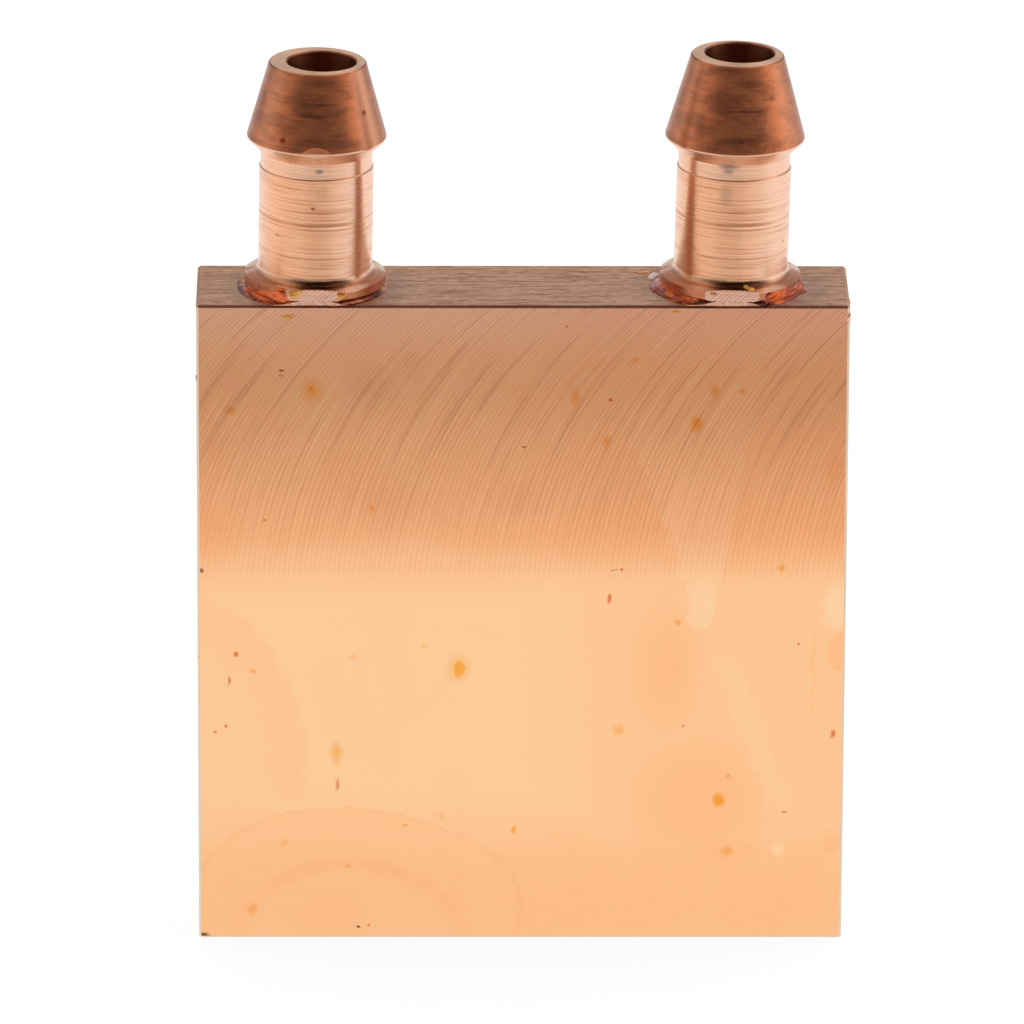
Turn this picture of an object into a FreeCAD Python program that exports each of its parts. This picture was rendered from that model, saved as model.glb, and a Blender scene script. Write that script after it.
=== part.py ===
"""Copper liquid cooling cold plate.

A copper block is milled out from the rear into a serpentine coolant channel. A flush copper
cover is brazed over the channel. Two turned copper hose fittings are brazed into the top edge,
one over the first pass of the channel and one over the last. Their collars are wider than the
block is thick, so machining the two broad faces has trimmed the collars flush with them.

Frame, in millimetres: X across the block, -Y out of the cold face, +Z up to the hose fittings.
The origin is the middle of the bottom face.
"""

import FreeCAD
import Part
import math
import os

# ---- Block ----
block_width = 40.0
block_height = 41.5
cold_wall = 2.0             # solid copper between the cold face and the coolant
channel_depth = 4.0
cover_thickness = 2.0
edge_break = 0.15           # deburred outside edges

# ---- Coolant channel, milled from the rear ----
side_rail = 3.0             # solid copper at the left, right and bottom of the channel
top_rail = 3.5              # solid copper above the channel, where the fittings seat
pass_count = 4
divider = 1.6               # web between two passes
mill_radius = 2.0           # corner radius left by the end mill
corner_share = 0.45         # most of a pass's width that a corner may take
cover_ledge = 1.0           # landing for the cover round the channel
braze_gap = 0.1             # capillary gap that the filler metal fills

# ---- Ports in the top edge ----
port_inset = 7.25           # from the side of the block to a port's axis
passage_diameter = 3.5      # drilled from the socket down into the channel
spigot_diameter = 5.8
spigot_length = 2.2

# ---- Hose fitting, heights measured up from the block's top face ----
stand_off = 0.3             # bed of filler metal under the collar
collar_diameter = 8.66
collar_height = 0.5         # straight side of the collar
collar_crown = 0.15         # rise of the collar's top towards the stem
collar_chamfer = 0.1        # lower edge of the collar
root_radius = 0.45          # concave turn from the collar into the stem
stem_diameter = 7.0
stem_top = 7.8              # end of the ridged, turned stem
neck_diameter = 6.84        # smooth relief behind the barb
neck_step = 0.06
barb_heel = 8.8             # bottom of the barb's undercut heel
heel_angle = 45.0
rim_diameter = 8.54
rim_land = 0.12
cone_half_angle = 15.6
bore_diameter = 4.24
mouth_break = 0.08          # deburred edges of the hose fitting's mouth

# ---- Bead of filler metal round each collar ----
bead_undercut = 0.25        # how far the bead draws back under the collar's edge
bead_spread = 0.45          # how far its foot runs out past the collar
bead_hollow = 0.08          # how far the middle of its slope lies in from a straight one
bead_sink = 0.4             # reach below the top face before the block cuts it off

# ---- The two fittings as brazed in: side of the block, height of the mouth, sideways lean in
# degrees, how far the bore runs out of centre (X, Y), and the flat rubbed on the rim's front ----
fittings = {
    "inlet": {"side": -1, "reach": 14.4, "lean": 0.75, "runout": (0.25, 0.0), "rub": 0.11},
    "outlet": {"side": 1, "reach": 14.9, "lean": 1.2, "runout": (0.14, 0.3), "rub": 0.0},
}

# ---- Worked out from the sizes above ----
block_thickness = cold_wall + channel_depth + cover_thickness
front_face = -block_thickness / 2
rear_face = block_thickness / 2
channel_floor = front_face + cold_wall
cover_seat = rear_face - cover_thickness
port_x = block_width / 2 - port_inset
port_y = channel_floor + channel_depth / 2
channel_left = side_rail - block_width / 2
channel_bottom = side_rail
channel_top = block_height - top_rail
pass_width = (block_width - 2 * side_rail - (pass_count - 1) * divider) / pass_count
pass_pitch = pass_width + divider
turn_height = pass_width
spigot_radius = spigot_diameter / 2
socket_radius = spigot_radius + braze_gap
collar_radius = collar_diameter / 2
clear = 1.0                 # how far a cutting tool runs past what it cuts

UP = FreeCAD.Vector(0, 0, 1)
REARWARD = FreeCAD.Vector(0, 1, 0)


def box(x, y, z):
    """A box from (low, high) pairs along each axis."""
    corner = FreeCAD.Vector(x[0], y[0], z[0])
    return Part.makeBox(x[1] - x[0], y[1] - y[0], z[1] - z[0], corner)


def milled_slab(x, z, y, corner_radius):
    """A slab with rounded corners in the XZ plane, as an end mill leaves it, from (low, high) pairs."""
    low_x, high_x = x
    low_z, high_z = z
    r = corner_radius
    diagonal = r * (1 - math.sqrt(0.5))
    corners = [
        ((low_x + r, low_z), (low_x + diagonal, low_z + diagonal), (low_x, low_z + r)),
        ((low_x, high_z - r), (low_x + diagonal, high_z - diagonal), (low_x + r, high_z)),
        ((high_x - r, high_z), (high_x - diagonal, high_z - diagonal), (high_x, high_z - r)),
        ((high_x, low_z + r), (high_x - diagonal, low_z + diagonal), (high_x - r, low_z)),
    ]
    edges = []
    last = corners[-1][2]
    for start, middle, end in corners:
        edges.append(Part.makeLine(in_plane(last, y[0]), in_plane(start, y[0])))
        points = [in_plane(p, y[0]) for p in (start, middle, end)]
        edges.append(Part.Arc(*points).toShape())
        last = end
    face = Part.Face(Part.Wire(edges))
    return face.extrude(REARWARD * (y[1] - y[0]))


def in_plane(point, y):
    return FreeCAD.Vector(point[0], y, point[1])


def turned(outline):
    """A solid of revolution about Z. The outline lists (radius, height) corners, and a corner
    that carries a third item is reached by an arc through that middle point."""
    edges = []
    last = outline[-1]
    for corner in outline:
        start = FreeCAD.Vector(last[0], 0, last[1])
        end = FreeCAD.Vector(corner[0], 0, corner[1])
        if len(corner) == 3:
            middle = FreeCAD.Vector(corner[2][0], 0, corner[2][1])
            edges.append(Part.Arc(start, middle, end).toShape())
        else:
            edges.append(Part.makeLine(start, end))
        last = corner
    face = Part.Face(Part.Wire(edges))
    return face.revolve(FreeCAD.Vector(0, 0, 0), UP, 360)


def seated(shape, fitting):
    """Moves a shape from a fitting's own frame to its port, with the fitting's lean."""
    port = FreeCAD.Vector(fitting["side"] * port_x, port_y, block_height)
    shape.Placement = FreeCAD.Placement(port, FreeCAD.Rotation(REARWARD, fitting["lean"]))
    return shape


def blank():
    """The block's plain outside."""
    half = block_width / 2
    return box((-half, half), (front_face, rear_face), (0, block_height))


def coolant_channel():
    """The serpentine: upright passes, joined in turn at the bottom and at the top."""
    depth = (channel_floor, cover_seat + clear)
    height = (channel_bottom, channel_top)
    corner = min(mill_radius, corner_share * pass_width)
    void = None
    for i in range(pass_count):
        left = channel_left + i * pass_pitch
        a_pass = milled_slab((left, left + pass_width), height, depth, corner)
        void = a_pass if void is None else void.fuse(a_pass)
    for i in range(pass_count - 1):
        left = channel_left + i * pass_pitch
        at_bottom = i % 2 == 0
        low = channel_bottom if at_bottom else channel_top - turn_height
        span = (left, left + pass_width + pass_pitch)
        void = void.fuse(milled_slab(span, (low, low + turn_height), depth, corner))
        void = void.fuse(nose_relief(left + pass_width, low, at_bottom, depth))
    return void.removeSplitter()


def nose_relief(left, turn_low, at_bottom, depth):
    """What the mill takes off the end of a divider to give it a round nose."""
    radius = divider / 2
    tip = turn_low + turn_height if at_bottom else turn_low
    back = tip + radius if at_bottom else tip - radius
    around = box((left, left + divider), depth, (min(tip, back), max(tip, back)))
    centre = FreeCAD.Vector(left + radius, depth[0], back)
    return around.cut(Part.makeCylinder(radius, depth[1] - depth[0], centre, REARWARD))


def cover_outline(gap):
    """X and Z ranges and the corner radius of the cover's seat, drawn in by a gap."""
    inset = cover_ledge - gap
    half = block_width / 2 - side_rail + inset
    span_z = (channel_bottom - inset, channel_top + inset)
    return (-half, half), span_z, mill_radius + inset


def socket(fitting):
    """The hole that a fitting's spigot drops into."""
    low = FreeCAD.Vector(0, 0, -spigot_length)
    return seated(Part.makeCylinder(socket_radius, spigot_length + clear, low, UP), fitting)


def passage(fitting):
    """The drilled way from a socket down into the channel, past the channel's round corner."""
    depth = top_rail + mill_radius
    low = FreeCAD.Vector(0, 0, -depth)
    return seated(Part.makeCylinder(passage_diameter / 2, depth, low, UP), fitting)


def block_body():
    raw = blank()
    body = raw.makeChamfer(edge_break, raw.Edges)
    span_x, span_z, corner = cover_outline(0.0)
    body = body.cut(milled_slab(span_x, span_z, (cover_seat, rear_face + clear), corner))
    body = body.cut(coolant_channel())
    for fitting in fittings.values():
        body = body.cut(socket(fitting))
        body = body.cut(passage(fitting))
    return body


def rear_cover():
    span_x, span_z, corner = cover_outline(braze_gap)
    return milled_slab(span_x, span_z, (cover_seat, rear_face), corner)


def cover_braze_seam():
    """The thin frame of filler metal between the cover and its seat."""
    span_x, span_z, corner = cover_outline(0.0)
    seat = milled_slab(span_x, span_z, (cover_seat, rear_face), corner)
    return seat.cut(rear_cover())


def trimmed_to_block(shape, top):
    """Cuts off what stands past the block's broad faces, up to a height over the top face."""
    reach = (-block_width, block_width)
    height = (block_height - clear, block_height + top)
    shape = shape.cut(box(reach, (front_face - block_thickness, front_face), height))
    return shape.cut(box(reach, (rear_face, rear_face + block_thickness), height))


def hose_fitting(fitting):
    """Spigot, trimmed collar, ridged stem, relieved neck and the barb's cone, bored right through."""
    stem_radius = stem_diameter / 2
    neck_radius = neck_diameter / 2
    rim_radius = rim_diameter / 2
    reach = fitting["reach"]
    shoulder = stand_off + collar_chamfer + collar_height
    crown = shoulder + collar_crown
    root = stem_radius + root_radius
    into_root = root_radius * (1 - math.sqrt(0.5))
    heel = barb_heel + (rim_radius - neck_radius) * math.tan(math.radians(heel_angle))
    rim = heel + rim_land
    slope = math.tan(math.radians(cone_half_angle))
    tip_radius = rim_radius - (reach - rim) * slope
    outline = [
        (0, -spigot_length),
        (spigot_radius, -spigot_length),
        (spigot_radius, stand_off),
        (collar_radius - collar_chamfer, stand_off),
        (collar_radius, stand_off + collar_chamfer),
        (collar_radius, shoulder),
        (root, crown),
        (stem_radius, crown + root_radius, (stem_radius + into_root, crown + into_root)),
        (stem_radius, stem_top),
        (neck_radius, stem_top + neck_step),
        (neck_radius, barb_heel),
        (rim_radius, heel),
        (rim_radius, rim),
        (tip_radius + mouth_break * slope, reach - mouth_break),
        (tip_radius - mouth_break, reach),
        (0, reach),
    ]
    solid = turned(outline)
    out_x, out_y = fitting["runout"]
    bore_radius = bore_diameter / 2
    low = FreeCAD.Vector(out_x, out_y, -spigot_length - clear)
    solid = solid.cut(Part.makeCylinder(bore_radius, reach + spigot_length + 2 * clear, low, UP))
    mouth = FreeCAD.Vector(out_x, out_y, reach - mouth_break)
    solid = solid.cut(Part.makeCone(bore_radius, bore_radius + mouth_break, mouth_break, mouth, UP))
    if fitting["rub"]:
        flat = rim_radius - fitting["rub"]
        rubbed = box((-rim_radius, rim_radius), (-rim_radius - clear, -flat), (barb_heel, reach))
        solid = solid.cut(rubbed)
    return trimmed_to_block(seated(solid, fitting), crown + root_radius)


def fitting_braze_joint(fitting):
    """Filler metal round a spigot, in a bed under the collar, and out past it in a hollow bead,
    whose slope is steep at the collar and shallow at its foot."""
    foot = collar_radius + bead_spread
    neck = collar_radius - bead_undercut
    middle = ((foot + neck) / 2 - bead_hollow, stand_off / 2 - bead_hollow)
    outline = [
        (spigot_radius, -spigot_length),
        (socket_radius, -spigot_length),
        (socket_radius, -bead_sink),
        (foot, -bead_sink),
        (foot, 0),
        middle,
        (neck, stand_off),
        (spigot_radius, stand_off),
    ]
    joint = seated(turned(outline), fitting).cut(blank().cut(socket(fitting)))
    return trimmed_to_block(joint, stand_off + clear)


def export(name, shape):
    shape.exportStep(f"parts/{name}.step")
    print(name, "solids", len(shape.Solids), "volume", round(shape.Volume, 2), "valid", shape.isValid())


os.makedirs("parts", exist_ok=True)
export("block_body", block_body())
export("rear_cover", rear_cover())
export("cover_braze_seam", cover_braze_seam())
for name, fitting in fittings.items():
    export(f"{name}_hose_fitting", hose_fitting(fitting))
    export(f"{name}_braze_joint", fitting_braze_joint(fitting))
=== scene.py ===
"""Looks of the copper cold plate: finishes, stains, braze, flux, floor, light and camera."""

import math

import bmesh
import bpy
from mathutils import Matrix, Vector, noise


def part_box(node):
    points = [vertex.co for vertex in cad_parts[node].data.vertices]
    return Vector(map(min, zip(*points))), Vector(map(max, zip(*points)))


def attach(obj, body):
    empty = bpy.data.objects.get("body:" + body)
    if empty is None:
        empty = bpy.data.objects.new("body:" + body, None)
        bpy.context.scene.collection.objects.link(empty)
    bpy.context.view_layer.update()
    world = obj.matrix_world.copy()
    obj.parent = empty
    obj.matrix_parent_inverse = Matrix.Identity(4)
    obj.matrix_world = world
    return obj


MM = 0.001
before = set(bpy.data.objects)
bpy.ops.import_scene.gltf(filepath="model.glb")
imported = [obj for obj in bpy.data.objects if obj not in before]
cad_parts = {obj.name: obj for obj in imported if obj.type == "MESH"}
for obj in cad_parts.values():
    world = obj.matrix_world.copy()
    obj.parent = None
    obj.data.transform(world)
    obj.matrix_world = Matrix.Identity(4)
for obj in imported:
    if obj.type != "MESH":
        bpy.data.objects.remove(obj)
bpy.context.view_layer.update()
block_low, block_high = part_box("block_body")

# ---- Places worked out from the frame, in millimetres ----
FRONT = block_low.y / MM
REAR = block_high.y / MM
TOP = block_high.z / MM
HALF_WIDTH = block_high.x / MM

# ---- Fly-cut marks: arcs of one radius, one beside the other ----
CUT_RADIUS = 27.0
CUT_HEIGHT = 21.0           # of the arcs' leftmost points
CUT_FEED = 0.31             # from one pass of the cutter's tooth to the next

# ---- Radii of a hose fitting, and heights along its axis from the block's top face ----
COLLAR_RADIUS = 4.33
STEM_RADIUS = 3.5
BORE_REACH = (2.6, 2.45)    # distances from the axis over which the bore's colour takes over
COLLAR_TOP = 0.9
COLLAR_CROWN = 1.05
NECK = 7.7
BARB_HEEL = 8.8
BARB_RIM = 9.7
TRIMMED = (0.94, 0.985)     # how squarely a face looks to the front or rear where it was trimmed

# ---- How many marks lie on a millimetre ----
CUT_STREAKS = 2.2
CUT_HAIRS = 6.5
TURNED_RINGS = 9.5
TURNED_HAIRS = 24.0
RING_GROUPS = 0.9

MOUTH_DEPTH = 0.25          # how far down a fitting's points still count as its mouth
FOOT_DEPTH = 0.2            # and how far up as its foot
SHARP_EDGE = math.radians(20)

# ---- Floor, in metres towards the camera and aside: glow and shade that the copper mirrors ----
FLOOR_SIZE = 3.0
FLOOR_DROP = 0.00001
FLOOR_GLOW = 0.95           # as mirrored
FLOOR_LIGHT = 0.86          # as the camera sees it, over the matte grey
FLOOR_GREY = (0.40, 0.40, 0.40)
GLOW_START = (-0.0755, -0.0715)
SHADE_START = (-0.070, -0.115)
SHADE_END = (-0.131, -0.123)
SHADE_ASIDE = (0.070, 0.035)

# ---- Light from all round: the least of it, and what comes on top from each way ----
LEAST_LIGHT = 0.34
BEHIND_LIGHT = 0.28
RIGHT_LIGHT = 0.66
LEFT_LIGHT = 0.24
TOP_LIGHT = 0.22

# ---- Camera ----
SENSOR = 36.0
LENS = 396.4
CAMERA_TARGET = Vector((-0.58, 0.0, 26.743)) * MM
CAMERA_DISTANCE = 697.5 * MM
CAMERA_YAW = math.radians(0.66)
CAMERA_PITCH = math.radians(19.442)
CAMERA_ROLL = math.radians(-0.262)

# ---- Copper colours, as linear light ----
BRIGHT_COPPER = (1.0, 0.62, 0.335)
# Partly heat tint, partly painted shade for the upper part of the fly-cut faces:
HEAT_TINT_AND_SHADE = (1.0, 0.475, 0.225)
GREY_HAZE = (0.96, 0.49, 0.305)
DARK_OXIDE = (0.20, 0.055, 0.025)
# Partly oxide, partly painted shade along the edges of the top face:
EDGE_OXIDE_AND_SHADE = (0.46, 0.13, 0.055)
# Painted highlight on the bevels at the sides and the bottom:
EDGE_HIGHLIGHT = (1.0, 0.80, 0.62)
SAWN_GROOVE = (0.56, 0.27, 0.165)
SAWN_CREST = (1.0, 0.63, 0.44)
SAWN_STREAK = (0.44, 0.18, 0.10)
SIDE_COPPER = (0.95, 0.54, 0.32)
HAZE_FILM = (0.82, 0.54, 0.42)
HAZE_SWIRL = (1.0, 0.80, 0.68)
STEM_COPPER = (1.0, 0.53, 0.31)
STEM_PATCH = (1.0, 0.46, 0.23)
# Painted highlight on the stems:
STEM_HIGHLIGHT = (1.0, 0.66, 0.49)
RING_SHADE = (0.72, 0.25, 0.12)
HEEL_COPPER = (1.0, 0.62, 0.40)
# The cone's brown is partly oxide and partly painted shade; its flank colour is a painted highlight
# and its edge colour painted shade.
CONE_OXIDE_AND_SHADE = (0.80, 0.25, 0.105)
CONE_PATCH = (0.50, 0.16, 0.075)
CONE_RING = (0.95, 0.48, 0.28)
CONE_FLANK_HIGHLIGHT = (0.85, 0.43, 0.26)
CONE_EDGE_SHADE = (0.36, 0.14, 0.08)
BROWN_OXIDE = (0.30, 0.10, 0.045)
# Painted dark reflection, highlights and shade on the collars:
CROWN_DARK_REFLECTION = (0.58, 0.19, 0.085)
CROWN_SIDE_HIGHLIGHT = (1.0, 0.74, 0.56)
COLLAR_HIGHLIGHT = (1.0, 0.62, 0.42)
FOOT_PAINTED_SHADE = (0.13, 0.040, 0.018)
CUT_END = (1.0, 0.66, 0.46)
CUT_END_PATCH = (0.70, 0.38, 0.24)
BORE_OXIDE = (0.48, 0.16, 0.075)
FACET_GROOVE = (0.80, 0.41, 0.28)
FACET_CREST = (1.0, 0.62, 0.46)
DARK_SMUDGE = (0.24, 0.085, 0.045)
RED_MARK = (0.30, 0.035, 0.015)
GREY_SMUDGE = (0.30, 0.20, 0.17)
BRAZE_DARK = (0.40, 0.11, 0.045)
BRAZE_BRIGHT = (0.85, 0.36, 0.17)
BRAZE_BURNT = (0.13, 0.055, 0.05)
BRAZE_CUT = (0.84, 0.44, 0.30)
BURR_DARK = (0.95, 0.50, 0.32)
BURR_BRIGHT = (1.0, 0.70, 0.52)
WHITE = (1.0, 1.0, 1.0)

FLANK_HIGHLIGHT_STRENGTH = {"inlet": 0.8, "outlet": 0.3}      # how strong the painted highlight on the right flank of each cone is

# ---- What a film, a stain, a tool mark or painted light and shade leaves of each colour ----
ORANGE_FILM = (1.0, 0.84, 0.76)
PINK_EDGE = (0.98, 0.87, 0.82)
DULL_PATCH = (0.91, 0.87, 0.86)
ORANGE_STAIN = (0.95, 0.66, 0.20)
RED_SPECK = (0.78, 0.36, 0.24)
BARE_COPPER = (1.0, 1.035, 1.08)
# Tones of the cutter's lines, laid only on the upper part of the fly-cut faces: partly tarnish in
# the grooves, partly painted reflection, with painted highlight on the crests. TOP_SHADE is painted
# shade.
FINE_GROOVE = (0.87, 0.79, 0.67)
FINE_CREST_HIGHLIGHT = (1.0, 1.09, 1.22)
BROAD_GROOVE = (0.86, 0.84, 0.85)
BROAD_CREST_HIGHLIGHT = (1.0, 1.08, 1.08)
TOP_SHADE = (0.84, 0.845, 0.86)

# ---- Marks on the cold face: place (X, Z), half width and half height, strength ----
ORANGE_SPOTS = (
    ((-3.85, 17.95), (0.9, 1.3), 0.5), ((-3.85, 17.9), (0.5, 0.72), 1.5),
    ((-12.9, 36.0), (0.85, 1.1), 0.6), ((-12.95, 36.1), (0.36, 0.5), 1.0),
    ((10.7, 33.9), (0.5, 0.7), 0.9), ((-11.45, 12.3), (0.5, 1.1), 0.55),
    ((12.25, 9.2), (0.45, 0.6), 1.3), ((12.85, 10.8), (0.28, 0.28), 0.6),
    ((9.6, 20.9), (0.28, 0.32), 0.8), ((11.75, 36.0), (0.35, 0.7), 0.6),
    ((5.15, 32.7), (0.35, 0.6), 0.6), ((3.2, 35.6), (0.4, 0.8), 0.6),
    ((6.05, 13.85), (0.5, 0.5), 0.5), ((6.85, 38.0), (0.3, 0.25), 0.6),
    ((13.45, 36.05), (0.22, 0.22), 0.8), ((-9.25, 28.4), (0.3, 0.5), 0.6),
    ((-16.6, 17.7), (0.3, 0.24), 0.7), ((-10.4, 18.65), (0.3, 0.3), 0.4),
    ((-6.0, 19.35), (0.2, 0.22), 0.5), ((16.0, 24.5), (0.3, 0.32), 0.8),
    ((-4.9, 8.1), (0.3, 0.5), 0.3), ((-0.4, 7.25), (0.2, 0.3), 0.9),
    ((-17.9, 34.75), (0.5, 0.4), 0.6), ((12.8, 5.8), (0.5, 0.45), 0.6),
    ((-14.7, 6.35), (0.35, 0.3), 0.4), ((-10.7, 4.8), (0.22, 0.2), 0.6),
    ((-7.2, 7.5), (0.22, 0.16), 0.7), ((-16.7, 1.9), (0.4, 0.5), 0.5),
    ((-14.4, 40.8), (0.45, 0.22), 1.0), ((9.35, 41.1), (0.42, 0.15), 1.0),
)
RED_SPECKS = (
    ((-17.67, 18.8), (0.24, 0.24), 0.9), ((-18.06, 17.1), (0.14, 0.42), 0.8),
    ((-18.25, 14.1), (0.16, 0.16), 0.8), ((-18.95, 13.7), (0.14, 0.14), 0.8),
    ((5.4, 22.5), (0.19, 0.42), 1.0), ((6.15, 24.4), (0.15, 0.13), 0.9),
    ((-15.85, 27.6), (0.16, 0.14), 0.7), ((5.4, 35.45), (0.18, 0.18), 0.9),
    ((2.7, 40.2), (0.13, 0.1), 0.8), ((-11.4, 10.2), (0.17, 0.5), 0.7),
    ((19.3, 13.6), (0.22, 0.36), 0.9), ((17.15, 19.55), (0.15, 0.13), 0.8),
    ((-9.4, 0.9), (0.14, 0.12), 0.8), ((10.0, 14.1), (0.12, 0.12), 0.7),
)
DARK_TICKS = (
    ((-14.75, 37.35), (0.26, 0.09), 0.8), ((-14.8, 37.0), (0.26, 0.08), 0.4),
    ((0.1, 32.4), (0.18, 0.08), 0.8), ((-10.1, 0.75), (0.22, 0.07), 0.9),
    ((-19.75, 24.3), (0.22, 0.25), 0.6), ((-19.8, 0.15), (0.6, 0.24), 0.8),
    ((16.35, 8.4), (0.2, 0.06), 0.7), ((-19.9, 5.6), (0.15, 0.25), 0.7),
    ((5.7, 24.4), (0.3, 0.05), 0.4),
)

# ---- The sides of the bare wedge on the cold face, each as two places ----
WEDGE_LEFT = ((10.4, 22.5), (7.0, 32.0))
WEDGE_RIGHT = ((11.8, 21.3), (13.5, 30.5))

# ---- Films on the cold face: place, half sizes, strength, and the softness of the rim ----
FILM_PATCHES = (
    ((-19.0, 32.6), (1.5, 2.6), 0.4, 0.8), ((-19.6, 26.5), (2.8, 6.8), 0.35, 0.6),
    ((19.1, 31.0), (1.3, 2.9), 0.65, 0.6), ((9.0, 18.0), (4.8, 9.5), 0.9, 0.8),
    ((11.0, 9.0), (8.0, 8.0), 1.2, 0.9), ((12.6, 5.6), (5.6, 2.2), 1.0, 0.7),
    ((-1.0, 2.6), (1.6, 3.0), 0.9, 0.8), ((-18.0, 5.6), (1.6, 2.2), 0.8, 0.8),
    ((19.4, 6.3), (1.6, 1.8), 0.9, 0.7), ((20.15, 19.0), (1.35, 1.6), 1.0, 0.12),
    ((18.05, 18.0), (0.28, 8.0), 0.9, 0.8),
)
BARE_PATCHES = (
    ((19.6, 22.0), (1.2, 1.9), 0.8, 0.3), ((16.0, 5.9), (0.7, 0.5), 0.8, 0.6),
    ((-15.8, 39.5), (1.7, 1.3), 0.5, 0.7),
)
DULL_PATCHES = (
    ((-9.2, 36.2), (2.4, 1.9), 0.7, 0.8), ((-6.9, 37.6), (1.3, 1.9), 0.5, 0.8),
    ((-7.6, 28.5), (3.6, 2.4), 0.5, 0.9), ((0.0, 29.0), (2.6, 1.9), 0.5, 0.9),
)

# ---- Marks on the fittings: side, degrees from the front and height, half sizes, strength ----
DARK_SMUDGES = (
    ("inlet", (0.0, 12.65), (30.0, 0.16), 0.9), ("inlet", (-8.0, 12.0), (26.0, 0.2), 1.0),
    ("inlet", (24.0, 10.3), (16.0, 0.5), 0.6), ("inlet", (0.0, 13.9), (40.0, 0.35), 0.55),
    ("inlet", (-72.0, 11.8), (16.0, 1.8), 0.4), ("outlet", (6.0, 12.3), (26.0, 0.13), 1.0),
    ("outlet", (12.0, 13.9), (22.0, 0.4), 0.7), ("outlet", (-35.0, 11.0), (8.0, 1.3), 0.5),
    ("outlet", (8.0, 10.6), (34.0, 0.3), 0.6), ("outlet", (35.0, 12.9), (5.0, 0.3), 0.6),
)
RED_MARKS = (
    ("inlet", (-32.0, 10.4), (4.0, 0.24), 1.0), ("inlet", (50.0, 11.85), (4.0, 0.22), 0.9),
    ("inlet", (-5.0, 6.05), (3.2, 0.13), 0.9), ("inlet", (-43.0, 4.05), (4.0, 0.1), 0.6),
    ("outlet", (2.0, 10.5), (3.0, 0.15), 0.6), ("outlet", (60.0, 3.5), (3.0, 0.12), 0.5),
)
GREY_SMUDGES = (
    ("inlet", (1.0, 8.4), (6.5, 0.22), 1.0), ("outlet", (-9.0, 8.72), (15.0, 0.22), 1.0),
    ("outlet", (-9.0, 8.45), (8.0, 0.3), 0.8), ("outlet", (-10.0, 6.9), (9.0, 1.0), 0.38),
    ("inlet", (4.0, 7.0), (9.0, 0.6), 0.22),
)


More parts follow.
